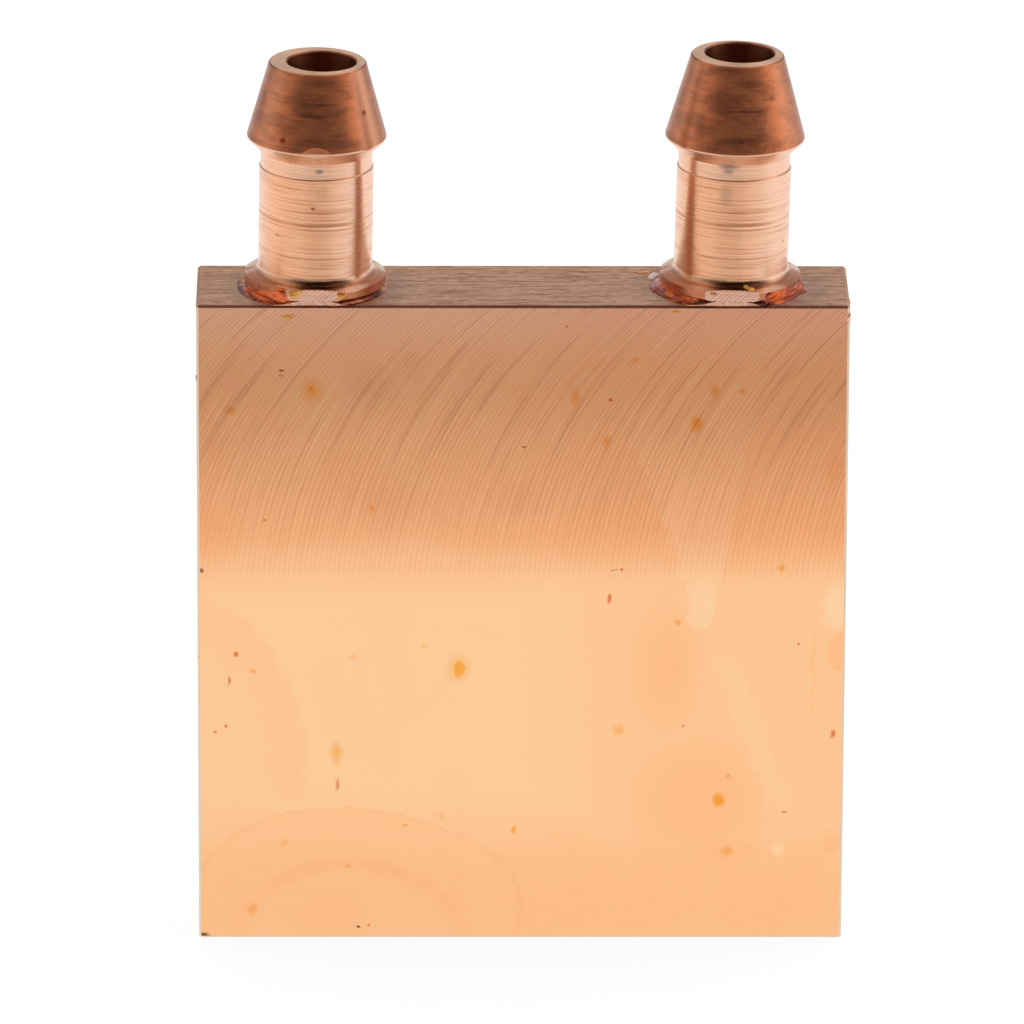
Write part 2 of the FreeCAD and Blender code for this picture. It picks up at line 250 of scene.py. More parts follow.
class Graph:
    """Short calls that build one material's nodes. A value is a number, a tuple or a socket."""

    def __init__(self, tree):
        self.tree = tree
        tree.nodes.clear()

    def add(self, kind, inputs=None, **settings):
        node = self.tree.nodes.new(kind)
        for key, value in settings.items():
            setattr(node, key, value)
        for key, value in (inputs or {}).items():
            self.put(node.inputs[key], value)
        return node

    def put(self, socket, value):
        if isinstance(value, bpy.types.NodeSocket):
            self.tree.links.new(value, socket)
        elif isinstance(value, tuple) and len(value) == 3 and socket.type == "RGBA":
            socket.default_value = (*value, 1.0)
        else:
            socket.default_value = value

    def math(self, operation, *values):
        node = self.add("ShaderNodeMath", operation=operation)
        for socket, value in zip(node.inputs, values):
            self.put(socket, value)
        return node.outputs[0]

    def vector(self, operation, *values):
        node = self.add("ShaderNodeVectorMath", operation=operation)
        for socket, value in zip(node.inputs, values):
            self.put(socket, value)
        return node.outputs["Value" if operation in ("DOT_PRODUCT", "LENGTH") else "Vector"]

    def scaled(self, vector, factor):
        node = self.add("ShaderNodeVectorMath", operation="SCALE")
        self.put(node.inputs[0], vector)
        self.put(node.inputs["Scale"], factor)
        return node.outputs["Vector"]

    def split(self, vector):
        return self.add("ShaderNodeSeparateXYZ", {0: vector}).outputs

    def join(self, x, y, z):
        return self.add("ShaderNodeCombineXYZ", {0: x, 1: y, 2: z}).outputs[0]

    def total(self, *values):
        result = values[0]
        for value in values[1:]:
            result = self.math("ADD", result, value)
        return result

    def product(self, *values):
        result = values[0]
        for value in values[1:]:
            result = self.math("MULTIPLY", result, value)
        return result

    def less(self, a, b):
        return self.math("SUBTRACT", a, b)

    def absolute(self, value):
        return self.math("ABSOLUTE", value)

    def most(self, *values):
        result = values[0]
        for value in values[1:]:
            result = self.math("MAXIMUM", result, value)
        return result

    def ramp(self, value, start, end, low=0.0, high=1.0):
        """Goes smoothly from low to high as the value goes from start to end."""
        settings = {"interpolation_type": "SMOOTHSTEP", "clamp": True}
        inputs = {0: value, 1: start, 2: end, 3: low, 4: high}
        return self.add("ShaderNodeMapRange", inputs, **settings).outputs[0]

    def noise(self, vector, scale=1.0, detail=2.0, roughness=0.5, distortion=0.0):
        inputs = {"Vector": vector, "Scale": scale, "Detail": detail}
        inputs.update({"Roughness": roughness, "Distortion": distortion})
        return self.add("ShaderNodeTexNoise", inputs).outputs[0]

    def wander(self, vector, scale, amount):
        """The same vector, moved about by noise."""
        inputs = {"Vector": vector, "Scale": scale, "Detail": 2.0}
        drift = self.add("ShaderNodeTexNoise", inputs).outputs["Color"]
        drift = self.vector("SUBTRACT", drift, (0.5, 0.5, 0.5))
        return self.vector("ADD", vector, self.scaled(drift, amount))

    def mix(self, factor, a, b, blend="MIX"):
        node = self.add("ShaderNodeMix", data_type="RGBA", blend_type=blend, clamp_factor=True)
        self.put(node.inputs[0], factor)
        self.put(node.inputs[6], a)
        self.put(node.inputs[7], b)
        return node.outputs[2]

    def blend(self, factor, a, b):
        node = self.add("ShaderNodeMix", data_type="FLOAT", clamp_factor=True)
        self.put(node.inputs[0], factor)
        self.put(node.inputs[2], a)
        self.put(node.inputs[3], b)
        return node.outputs[0]

    def blend_vectors(self, factor, a, b):
        node = self.add("ShaderNodeMix", {0: factor, 4: a, 5: b}, data_type="VECTOR")
        return node.outputs[1]

    def bump(self, height, strength, distance):
        inputs = {"Height": height, "Strength": strength, "Distance": distance}
        return self.add("ShaderNodeBump", inputs).outputs[0]

    def radius(self, plane, place, size):
        """Distance from a place, as a share of the size each way: 1 on the rim of the oval."""
        shares = (1 / size[0], 1 / size[1], 0.0)
        offset = (-place[0] / size[0], -place[1] / size[1], 0.0)
        return self.vector("LENGTH", self.vector("MULTIPLY_ADD", plane, shares, offset))

    def arch(self, plane, place, left, right, tall):
        """The same for an oval that reaches further on one side of its middle than on the other."""
        x, y, _ = self.split(self.vector("SUBTRACT", plane, (*place, 0.0)))
        wide = self.blend(self.math("GREATER_THAN", x, 0.0), left, right)
        shares = self.join(self.math("DIVIDE", x, wide), self.product(y, 1 / tall), 0.0)
        return self.vector("LENGTH", shares)

    def beyond(self, plane, a, b, soft):
        """1 on the right of the line from a to b and 0 on its left."""
        way = (Vector(b) - Vector(a)).normalized()
        off = self.vector("DOT_PRODUCT", plane, (way.y, -way.x, 0.0))
        start = way.y * a[0] - way.x * a[1]
        return self.ramp(off, start - soft, start + soft)

    def dots(self, plane, marks, soft=0.7):
        """Small oval marks: place, half sizes, strength and perhaps a softness of its own."""
        most = 0.0
        for place, size, strength, *own in marks:
            slope = strength / (own[0] if own else soft)
            mark = self.math("MULTIPLY_ADD", self.radius(plane, place, size), -slope, slope)
            most = self.most(most, mark)
        return self.math("MINIMUM", most, 1.0)

    def tilted(self, normal, way, slope):
        """The normal, leant over by a slope along the way."""
        return self.vector("NORMALIZE", self.vector("ADD", normal, self.scaled(way, slope)))

    def spot(self, plane, place, size, strength=1.0, soft=0.6):
        """An oval mark that fades out over the outer, soft share of its size."""
        return self.ramp(self.radius(plane, place, size), 1.0, 1.0 - soft, 0.0, strength)


class Surface(Graph):
    """A material whose coordinates are the row frame in millimetres."""

    def __init__(self, name):
        self.material = bpy.data.materials.new(name)
        self.material.use_nodes = True
        super().__init__(self.material.node_tree)
        place = self.add("ShaderNodeTexCoord")
        self.point = self.scaled(place.outputs["Object"], 1 / MM)
        self.normal = place.outputs["Normal"]
        self.x, self.y, self.z = self.split(self.point)
        self.nx, self.ny, self.nz = self.split(self.normal)

    def finish(self, inputs, **constants):
        shader = self.add("ShaderNodeBsdfPrincipled", inputs)
        for key, value in constants.items():
            shader.inputs[key.replace("_", " ").title()].default_value = value
        self.add("ShaderNodeOutputMaterial", {"Surface": shader.outputs[0]})
        return self.material


def fly_cut(g):
    """The fly cutter's marks: fine and broad lines, the slope they lean by and the way across."""
    rise = g.less(g.z, CUT_HEIGHT)
    reach = g.less(CUT_RADIUS**2, g.product(rise, rise))
    reach = g.math("SQRT", g.most(reach, 1.0))
    across = g.total(g.x, reach)
    drift = g.noise(g.join(g.product(across, 0.35), g.product(g.z, 0.05), 0.0), 1.0, 1.0)
    turn = g.total(g.product(across, 2 * math.pi / CUT_FEED), g.product(drift, 9.0))
    streak = g.join(g.product(across, CUT_STREAKS), g.product(g.z, 0.10), 7.0)
    streak = g.noise(streak, 1.0, 2.0, 0.6)
    hair = g.join(g.product(across, CUT_HAIRS), g.product(g.z, 0.16), 3.0)
    hair = g.less(g.noise(hair, 1.0, 1.0), 0.5)
    fine = g.total(g.product(g.math("SINE", turn), 0.27), g.product(hair, 0.6))
    broad = g.less(g.ramp(streak, 0.45, 0.30), g.ramp(streak, 0.54, 0.68))
    slope = g.total(g.product(g.math("COSINE", turn), 0.02), g.product(hair, 0.1))
    way = g.join(1.0, 0.0, g.math("DIVIDE", g.product(rise, -1.0), reach))
    return fine, broad, slope, g.vector("NORMALIZE", way)


def heat_and_shade_colours(g, cloud):
    """Bright copper low down, redder and duller towards the fittings that were brazed in: partly
    heat tint, partly painted shade for the darker reflection on the face's upper part.
    """
    level = g.total(g.z, g.product(g.less(cloud, 0.5), 1.6))
    color = g.mix(g.ramp(level, 22.6, 27.2), BRIGHT_COPPER, HEAT_TINT_AND_SHADE)
    return g.mix(g.ramp(level, 37.0, 41.6), color, GREY_HAZE)


def films(g, plane, cloud):
    """Where an orange film has dried on the cold face, with its tide marks."""
    # The large puddle at the lower left, the drop within it and the one that ran in at the edge.
    puddle = g.arch(plane, (-11.8, 2.0), 8.8, 12.0, 6.74)
    pool = g.product(g.ramp(puddle, 1.0, 0.985), g.ramp(puddle, 0.2, 0.95, 0.45, 0.7))
    rim = g.product(g.ramp(puddle, 0.96, 0.99), g.ramp(puddle, 1.008, 0.99))
    inner = g.arch(plane, (-11.0, -0.5), 6.5, 7.4, 5.5)
    ring = g.product(g.ramp(inner, 0.84, 1.0), g.ramp(inner, 1.12, 1.0))
    ring = g.product(ring, g.ramp(g.z, 0.5, 4.5, 0.25, 0.75))
    drip = g.radius(plane, (-21.0, 11.0), (7.7, 12.0))
    band = g.product(g.ramp(drip, 1.05, 0.94), g.ramp(drip, 0.55, 1.0, 0.25, 0.5))
    band = g.product(band, g.ramp(g.z, 6.0, 11.0))
    # The two runs beside the bare wedge.
    stripe = g.product(g.beyond(plane, *WEDGE_RIGHT, 0.25), g.ramp(g.z, 18.0, 23.0))
    stripe = g.product(stripe, g.ramp(g.z, 33.5, 29.5), g.ramp(g.x, 18.4, 17.0, 0.2, 0.45))
    middle = g.spot(plane, (6.6, 26.6), (4.6, 4.6), 0.35, 0.7)
    middle = g.product(middle, g.beyond(plane, *WEDGE_LEFT, -0.15))
    # What settled low down, at the right and along the upper zone's lower end.
    low = g.product(g.ramp(g.z, 11.5, 4.0), g.ramp(cloud, 0.3, 0.6, 0.75, 1.0))
    line = g.product(g.ramp(g.z, 21.0, 23.2, 0.0, 0.28), g.ramp(g.z, 25.5, 24.3))
    low = g.most(low, line, g.ramp(g.x, -3.0, 7.0, 0.0, 0.45))
    film = g.most(pool, band, stripe, middle, low, g.dots(plane, FILM_PATCHES))
    film = g.most(film, g.ramp(cloud, 0.45, 0.75, 0.0, 0.3))
    return film, g.most(g.product(rim, 0.4), g.product(ring, 0.65))


def bare_patch(g, plane):
    """The paler wedge that ends in a drop, and the streaks that were wiped clean."""
    drop = g.spot(plane, (11.05, 21.9), (0.9, 1.6), 0.75, 0.15)
    wedge = g.product(g.beyond(plane, *WEDGE_LEFT, 0.15), g.beyond(plane, *WEDGE_RIGHT[::-1], 0.2))
    wedge = g.product(wedge, g.ramp(g.z, 21.4, 22.2), g.ramp(g.z, 37.0, 28.0, 0.0, 0.7))
    streak = g.beyond(plane, (11.6, 19.6), (15.4, 8.6), -0.5)
    streak = g.product(streak, g.beyond(plane, (16.8, 8.6), (13.0, 19.6), -0.5))
    streak = g.product(streak, g.ramp(g.z, 7.5, 10.0), g.ramp(g.z, 20.0, 17.0, 0.0, 0.4))
    return g.most(drop, wedge, streak, g.dots(plane, BARE_PATCHES))


def specks(g, plane, color):
    """Single stains, specks and nicks."""
    color = g.mix(g.dots(plane, ORANGE_SPOTS), color, ORANGE_STAIN, "MULTIPLY")
    color = g.mix(g.dots(plane, RED_SPECKS, 0.6), color, RED_SPECK, "MULTIPLY")
    return g.mix(g.dots(plane, DARK_TICKS, 0.5), color, DARK_OXIDE)


def cold_face(g):
    """The fly-cut faces, of which the front one bears the stains."""
    fine, broad, slope, way = fly_cut(g)
    flat = g.join(g.x, g.z, 0.0)
    drift = g.less(g.noise(flat, 1.3, 2.0), 0.5)
    plane = g.vector("ADD", flat, g.scaled((1.1, 0.8, 0.0), drift))
    close = g.vector("ADD", flat, g.scaled((0.4, 0.35, 0.0), drift))
    cloud = g.noise(g.point, 0.18, 3.0, 0.6)
    front = g.ramp(g.ny, -0.5, -0.9)
    film, mark = films(g, plane, cloud)
    bare = bare_patch(g, plane)
    film = g.product(film, g.less(1.0, bare), g.blend(front, 0.3, 1.0))
    dull = g.dots(plane, DULL_PATCHES)
    # The cutter's lines are toned only on the upper part, as painted reflection that is partly
    # tarnish in the grooves, with painted highlight on the crests.
    reflection_zone = g.product(g.ramp(g.z, 23.9, 24.5, 0.14, 1.0), g.ramp(g.z, 25.0, 36.0, 0.45, 1.0))
    upper = g.ramp(g.z, 25.0, 37.0)
    color = heat_and_shade_colours(g, cloud)
    for amount, tint in (
        (film, ORANGE_FILM),
        (g.product(mark, front), PINK_EDGE),
        (g.product(dull, front), DULL_PATCH),
        (g.product(bare, front), BARE_COPPER),
        (g.product(g.ramp(fine, 0.0, -0.5), reflection_zone), FINE_GROOVE),
        (g.product(g.ramp(fine, 0.0, 0.5), reflection_zone), FINE_CREST_HIGHLIGHT),
        (g.product(g.ramp(broad, 0.0, -1.0), upper), BROAD_GROOVE),
        (g.product(g.ramp(broad, 0.0, 1.0), upper), BROAD_CREST_HIGHLIGHT),
        # Painted shade, darker towards the top of the face.
        (g.ramp(g.z, 31.0, 38.0), TOP_SHADE),
    ):
        color = g.mix(amount, color, tint, "MULTIPLY")
    color = g.mix(front, color, specks(g, close, color))
    return color, slope, way, fine


def sawn_edge(g):
    """The four narrow sides, with streaks along the bar. The upright ones are paler."""
    run = g.total(g.x, g.z)
    streak = g.join(g.product(run, 0.28), g.product(g.y, 3.2), 0.0)
    streak = g.noise(streak, 1.0, 4.0, 0.62)
    grain = g.join(g.product(run, 1.6), g.product(g.y, 7.0), 4.0)
    grain = g.noise(grain, 1.0, 2.0, 0.6)
    tone = g.total(g.product(streak, 0.6), g.product(grain, 0.4))
    color = g.mix(g.ramp(tone, 0.36, 0.60), SAWN_GROOVE, SAWN_CREST)
    color = g.mix(g.ramp(streak, 0.56, 0.70, 0.0, 0.3), color, SAWN_STREAK)
    color = g.mix(g.ramp(g.absolute(g.nx), 0.5, 0.9, 0.0, 0.6), color, SIDE_COPPER)
    return color, tone


def collar_haze(g):
    """How much of the grey film round the two collars lies here, and of its pale swirls."""
    torn = g.noise(g.point, 0.9, 2.0, 0.6)
    film = 0.0
    for centre, _ in PORTS.values():
        away = g.vector("LENGTH", g.vector("SUBTRACT", g.point, tuple(centre)))
        away = g.total(away, g.product(g.less(torn, 0.5), 3.5))
        film = g.most(film, g.ramp(away, 6.4, 4.9))
    film = g.product(film, g.ramp(g.nz, 0.5, 0.9))
    swirl = g.ramp(g.absolute(g.less(torn, 0.53)), 0.028, 0.004)
    return film, g.product(film, swirl)


def milled_copper():
    """The block and its cover: fly-cut broad faces, sawn narrow sides and the edges between."""
    g = Surface("fly_cut_copper")
    broad = g.ramp(g.absolute(g.ny), 0.85, 0.97)
    face, cut, way, fine = cold_face(g)
    edge, saw = sawn_edge(g)
    film, swirl = collar_haze(g)
    edge = g.mix(g.product(film, 0.5), edge, HAZE_FILM)
    edge = g.mix(g.product(swirl, 0.6), edge, HAZE_SWIRL)
    color = g.mix(broad, edge, face)
    bevel = g.ramp(g.absolute(g.ny), 0.25, 0.5)
    # The bevels along the top face are darkened: partly oxide and partly painted shade.
    upper = g.product(g.ramp(g.nz, 0.25, 0.5), bevel)
    color = g.mix(g.product(upper, 0.8), color, EDGE_OXIDE_AND_SHADE)
    # Painted highlight on the bevels at the sides and along the bottom.
    other = g.most(g.absolute(g.nx), g.product(g.nz, -1.0))
    color = g.mix(g.product(g.ramp(other, 0.25, 0.5), bevel), color, EDGE_HIGHLIGHT)
    way = g.blend_vectors(broad, (0.0, 1.0, 0.0), way)
    slope = g.blend(broad, g.product(g.less(saw, 0.5), 0.3), cut)
    rough = g.blend(g.total(fine, 0.5), 0.17, 0.13)
    rough = g.blend(broad, g.blend(film, 0.42, 0.5), rough)
    return g.finish(
        {"Base Color": color, "Roughness": rough, "Normal": g.tilted(g.normal, way, slope),
         "Tangent": way},
        metallic=1.0, anisotropic=1.0,
    )


def stem_color(g, angle, along, patch):
    """The stem's copper: bright, with painted highlights at the right, at the far left and on the
    neck.
    """
    color = g.mix(g.ramp(patch, 0.4, 0.65, 0.0, 0.3), STEM_COPPER, STEM_PATCH)
    painted_sheen = g.most(g.ramp(angle, 0.0, 42.0), g.ramp(angle, -40.0, -75.0))
    painted_sheen = g.most(painted_sheen, g.ramp(along, NECK, 7.9, 0.0, 0.6))
    return g.mix(g.product(painted_sheen, 0.85), color, STEM_HIGHLIGHT)


def cone_color(g, side, angle, patch, ring, tone):
    """The barb's brown, partly oxide and partly painted shade, with rings, a painted highlight on
    its flanks and painted shade beyond them.
    """
    blotch = g.ramp(g.total(patch, g.product(g.less(ring, 0.5), 0.35)), 0.36, 0.64)
    color = g.mix(blotch, CONE_OXIDE_AND_SHADE, CONE_PATCH)
    color = g.mix(g.product(tone, 0.45), color, BROWN_OXIDE)
    color = g.mix(g.product(g.ramp(ring, 0.64, 0.74), 0.35), color, CONE_RING)
    # Painted highlight on the flanks, and painted shade towards the sides as seen from the front.
    turned = g.absolute(angle)
    right = g.ramp(angle, 34.0, 50.0, 0.0, FLANK_HIGHLIGHT_STRENGTH[side])
    flank_sheen = g.most(right, g.ramp(angle, -34.0, -50.0, 0.0, 0.28))
    flank_sheen = g.product(flank_sheen, g.ramp(turned, 58.0, 74.0, 1.0, 0.0))
    color = g.mix(flank_sheen, color, CONE_FLANK_HIGHLIGHT)
    return g.mix(g.ramp(turned, 54.0, 76.0, 0.0, 0.6), color, CONE_EDGE_SHADE)


def collar_color(g, plane, color, angle, along, axial, patch):
    """Adds the collar: a painted dark reflection on its crown, painted highlights at its sides and
    at its foot, and painted shade at its foot.
    """
    crown = g.ramp(along, COLLAR_CROWN + 0.3, COLLAR_CROWN)
    color = g.mix(g.product(crown, 0.9), color, CROWN_DARK_REFLECTION)
    cream_highlight = g.product(g.ramp(g.absolute(angle), 76.0, 92.0), g.ramp(axial, 0.3, 0.7))
    cream_highlight = g.product(cream_highlight, crown, g.ramp(patch, 0.40, 0.55))
    color = g.mix(cream_highlight, color, CROWN_SIDE_HIGHLIGHT)
    left = g.spot(plane, (-26.0, 0.98), (16.0, 0.14), 0.7, 0.7)
    right = g.spot(plane, (34.0, 0.94), (20.0, 0.2), 0.8, 0.7)
    color = g.mix(g.most(left, right), color, COLLAR_HIGHLIGHT)
    foot = g.spot(plane, (10.0, 1.2), (36.0, 0.26), 1.0, 0.5)
    return g.mix(g.product(foot, 0.9), color, FOOT_PAINTED_SHADE)


def turned_copper(side):
    """Turned all over, with rings round the axis of one hose fitting."""
    g = Surface(f"{side}_turned_copper")
    centre, axis = (tuple(vector) for vector in PORTS[side])
    local = g.vector("SUBTRACT", g.point, centre)
    along = g.vector("DOT_PRODUCT", local, axis)
    radial = g.vector("SUBTRACT", local, g.scaled(axis, along))
    distance = g.vector("LENGTH", radial)
    out_x, out_y, _ = g.split(radial)
    angle = g.math("ARCTAN2", out_x, g.product(out_y, -1.0))
    angle = g.product(angle, 180 / math.pi)
    plane = g.wander(g.join(angle, along, 0.0), 0.9, 0.18)
    axial = g.absolute(g.vector("DOT_PRODUCT", g.normal, axis))

    way = g.total(along, g.product(distance, -0.4), g.product(angle, 0.0009))
    spin = g.scaled(radial, 0.16)

    def rings(density, spin, *settings):
        up = g.join(0.0, 0.0, g.product(way, density))
        return g.noise(g.vector("ADD", up, spin), 1.0, *settings)

    ring = rings(TURNED_RINGS, spin, 2.0, 0.65)
    hair = rings(TURNED_HAIRS, spin, 2.0, 0.6)
    group = rings(RING_GROUPS, g.scaled(spin, 2.0), 1.0)
    strong = g.ramp(group, 0.38, 0.58, 0.45, 1.0)
    strong = g.product(strong, g.ramp(along, NECK + 0.05, NECK - 0.1, 0.15, 1.0))
    line = g.product(g.ramp(ring, 0.47, 0.37), strong)
    tone = g.total(g.product(line, 0.9), g.product(g.ramp(hair, 0.50, 0.38), 0.3))

    patch = g.vector("MULTIPLY", local, (1.0, 1.0, 2.2))
    patch = g.noise(patch, 0.55, 4.0, 0.62, 0.5)
    stem = stem_color(g, angle, along, patch)
    stem = g.mix(g.product(tone, 0.6), stem, RING_SHADE)
    on_cone = g.ramp(along, BARB_RIM - 0.02, BARB_RIM + 0.08)
    color = g.mix(on_cone, stem, cone_color(g, side, angle, patch, ring, tone))
    for marks, soft, strength, tint in (
        (DARK_SMUDGES, 0.8, 0.75, DARK_SMUDGE),
        (GREY_SMUDGES, 0.8, 0.8, GREY_SMUDGE),
        (RED_MARKS, 0.6, 0.85, RED_MARK),
    ):
        amount = fitting_marks(g, plane, side, marks, soft)
        color = g.mix(g.product(amount, strength), color, tint)
    under = g.product(g.ramp(along, BARB_HEEL - 0.05, BARB_HEEL + 0.1), g.less(1.0, on_cone))
    color = g.mix(g.product(under, 0.6), color, HEEL_COPPER)
    color = collar_color(g, plane, color, angle, along, axial, patch)
    cut_end = g.product(g.ramp(axial, 0.9, 0.98), g.ramp(along, BARB_RIM + 1.0, BARB_RIM + 2.0))
    end_color = g.mix(g.ramp(patch, 0.3, 0.7, 0.0, 0.5), CUT_END, CUT_END_PATCH)
    color = g.mix(cut_end, color, end_color)
    inside = g.product(g.ramp(distance, *BORE_REACH), g.ramp(axial, 0.7, 0.5))
    color = g.mix(inside, color, BORE_OXIDE)

    trimmed = g.ramp(g.absolute(g.ny), *TRIMMED)
    trimmed = g.product(trimmed, g.ramp(along, COLLAR_CROWN, COLLAR_TOP))
    hatch, _, hatch_slope, hatch_way = fly_cut(g)
    facet_color = g.mix(g.ramp(hatch, -0.3, 0.3), FACET_GROOVE, FACET_CREST)
    color = g.mix(trimmed, color, facet_color)

    around = g.vector("CROSS_PRODUCT", axis, radial)
    across = g.vector("NORMALIZE", g.vector("CROSS_PRODUCT", around, g.normal))
    across = g.vector("NORMALIZE", g.blend_vectors(trimmed, across, hatch_way))
    slope = g.product(g.less(ring, 0.5), strong, 0.42)
    slope = g.total(slope, g.product(g.less(hair, 0.5), 0.3))
    normal = g.tilted(g.normal, across, g.blend(trimmed, slope, hatch_slope))
    rough = g.total(g.blend(tone, 0.27, 0.36), g.product(on_cone, 0.07))
    rough = g.total(rough, g.product(cut_end, 0.12))
    return g.finish(
        {"Base Color": color, "Roughness": rough, "Normal": normal, "Tangent": across},
        metallic=1.0, anisotropic=0.85,
    )


def fitting_marks(g, plane, side, marks, soft):
    """The marks of one kind on one fitting, on a plane of angle and height."""
    return g.most(*[g.spot(plane, *mark[1:], soft) for mark in marks if mark[0] == side])


def braze_metal():
    """Filler metal: coppery where it ran smooth, dark and purple where flux burnt on it."""
    g = Surface("braze_metal")
    rough = g.noise(g.point, 1.1, 4.0, 0.6, 0.3)
    burnt = g.noise(g.point, 0.6, 3.0, 0.6)
    color = g.mix(g.ramp(rough, 0.38, 0.62), BRAZE_DARK, BRAZE_BRIGHT)
    color = g.mix(g.ramp(burnt, 0.48, 0.62, 0.0, 0.9), color, BRAZE_BURNT)
    trimmed = g.ramp(g.absolute(g.ny), *TRIMMED)
    trimmed = g.product(trimmed, g.ramp(g.z, TOP + 0.02, TOP + 0.05))
    cut = g.mix(g.ramp(g.noise(g.point, 3.0, 1.0), 0.4, 0.6), BRAZE_CUT, FACET_CREST)
    color = g.mix(trimmed, color, cut)
    normal = g.bump(rough, g.product(g.less(1.0, trimmed), 0.7), 0.12 * MM)
    return g.finish(
        {"Base Color": color, "Roughness": g.blend(burnt, 0.25, 0.45), "Normal": normal},
        metallic=0.9,
    )


def flux_glass(name, dark, pale, edge, metal, glow):
    """Dried flux: a glassy skin over copper, with a faint painted glow: it emits light in its own
    colour, standing in for light that passes through it.
    """
    g = Surface(name)
    depth = g.noise(g.vector("MULTIPLY", g.point, (0.7, 1.0, 1.8)), 1.0, 2.0, 0.5)
    grain = g.noise(g.point, 4.5, 1.0)
    color = g.mix(g.ramp(depth, 0.42, 0.60), dark, pale)
    color = g.mix(g.ramp(grain, 0.62, 0.70, 0.0, 0.35), color, edge)
    normal = g.bump(depth, 0.2, 0.08 * MM)
    return g.finish(
        {"Base Color": color, "Roughness": g.blend(grain, 0.12, 0.25), "Normal": normal,
         "Emission Color": color},
        metallic=metal, emission_strength=glow, coat_weight=0.5, coat_roughness=0.06,
    )


def burr_metal():
    """Freshly torn copper."""
    g = Surface("burr_copper")
    grain = g.noise(g.point, 5.0, 2.0)
    color = g.mix(g.ramp(grain, 0.4, 0.6), BURR_DARK, BURR_BRIGHT)
    rough = g.blend(grain, 0.25, 0.4)
    return g.finish({"Base Color": color, "Roughness": rough}, metallic=1.0)


def port_of(node):
    """Centre at the block's top face and axis of a fitting, in millimetres, from its solid."""
    low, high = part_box(node)
    points = [v.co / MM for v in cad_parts[node].data.vertices]
    mouth = [p for p in points if p.z > high.z / MM - MOUTH_DEPTH]
    foot = [p for p in points if p.z < low.z / MM + FOOT_DEPTH]
    top = sum(mouth, Vector()) / len(mouth)
    bottom = sum(foot, Vector()) / len(foot)
    axis = (top - bottom).normalized()
    centre = bottom + axis * ((TOP - bottom.z) / axis.z)
    return centre, axis


def dress(node, material):
    """Gives a CAD node its finish and smooth shading between its facets."""
    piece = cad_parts[node]
    piece.data.materials.clear()
    piece.data.materials.append(material)
    for polygon in piece.data.polygons:
        polygon.use_smooth = True
    split = piece.modifiers.new("sharp_edges", "EDGE_SPLIT")
    split.split_angle = SHARP_EDGE


# ---- Dried flux: the path of its skin from the stem's foot over the collar and the bead to the
# block's top face, as (radius, height). Reach is measured along it from the collar's edge. ----
SKIN = (
    (STEM_RADIUS, 1.9), (3.52, 1.5), (3.65, 1.2), (3.95, 1.06), (COLLAR_RADIUS, COLLAR_TOP),
    (COLLAR_RADIUS, 0.42), (4.42, 0.14), (4.85, 0.02), (6.9, 0.0),
)
SKIN_EDGE = 4               # the point where reach is nothing
SKIN_TURNS = 150
SKIN_STEPS = 44
SKIN_SINK = 0.06            # how deep the rim of a crust is sunk
SKIN_BACK = 0.05            # how much deeper its hidden side lies
SKIN_TRACE = -0.02          # cells thinner than this all over are left out

# ---- Flux: dark, pale and edge colour, how metallic it is, and its painted glow ----
FLUX_LOOKS = {
    "red": ((0.34, 0.035, 0.008), (0.85, 0.14, 0.012), (0.95, 0.30, 0.06), 0.6, 0.10),
    "amber": ((0.50, 0.13, 0.015), (0.90, 0.42, 0.07), (1.0, 0.70, 0.34), 0.4, 0.22),
    "white": ((0.60, 0.38, 0.28), (0.80, 0.62, 0.52), (0.90, 0.80, 0.74), 0.0, 0.25),
}
FLUX_PROUD = {"red": -0.03, "amber": 0.06, "white": -0.03}      # past the block's broad faces

# ---- Lumps of flux: angle from the front, reach, half sizes in degrees and mm, thickness ----
FLUX_LUMPS = {
    ("inlet", "red"): (
        (-74, 0.50, 26, 0.60, 0.18), (-50, 0.38, 24, 0.60, 0.21), (-32, 0.25, 13, 0.55, 0.19),
    ),
    ("inlet", "amber"): (
        (-21, 0.10, 6, 0.35, 0.13), (-16, -0.15, 5, 0.18, 0.11), (21, 0.25, 5, 0.2, 0.12),
    ),
    ("inlet", "white"): ((-122, 1.1, 8, 0.25, 0.08),),
    ("outlet", "red"): (
        (-80, 0.75, 24, 0.7, 0.17), (-58, 0.5, 24, 0.65, 0.20), (-36, 0.3, 15, 0.5, 0.19),
        (50, 0.5, 26, 0.6, 0.19), (76, 0.8, 14, 0.7, 0.15), (32, 0.3, 12, 0.45, 0.18),
    ),
    ("outlet", "amber"): (
        (-23, 0.1, 9, 0.35, 0.14), (-36, 0.2, 6, 0.25, 0.14), (11, -0.8, 4, 0.6, 0.12),
        (15, -0.3, 6, 0.3, 0.13), (23, 0.15, 7, 0.35, 0.15),
    ),
    ("outlet", "white"): (
        (-108, 1.4, 9, 0.3, 0.09), (86, 1.4, 7, 0.3, 0.11), (97, 1.1, 9, 0.25, 0.11),
    ),
}

# ---- Flecks of flux and torn burrs: centre and half sizes ----
FLECKS = (
    ((-14.45, FRONT, 40.78), (0.24, 0.05, 0.07)), ((-14.15, FRONT, 40.88), (0.12, 0.05, 0.06)),
    ((9.3, FRONT, 41.12), (0.22, 0.04, 0.05)), ((7.4, 2.6, TOP + 0.01), (0.4, 0.2, 0.04)),
)
BURRS = (
    ((HALF_WIDTH - 0.12, FRONT + 0.1, TOP - 0.75), (0.16, 0.12, 0.34)),
    ((HALF_WIDTH - 0.05, FRONT + 1.6, TOP - 0.3), (0.10, 0.3, 0.2)),
    ((-HALF_WIDTH + 0.02, FRONT + 0.2, 36.8), (0.07, 0.12, 0.16)),
    ((-HALF_WIDTH + 0.04, FRONT + 0.2, 18.6), (0.05, 0.1, 0.12)),
)


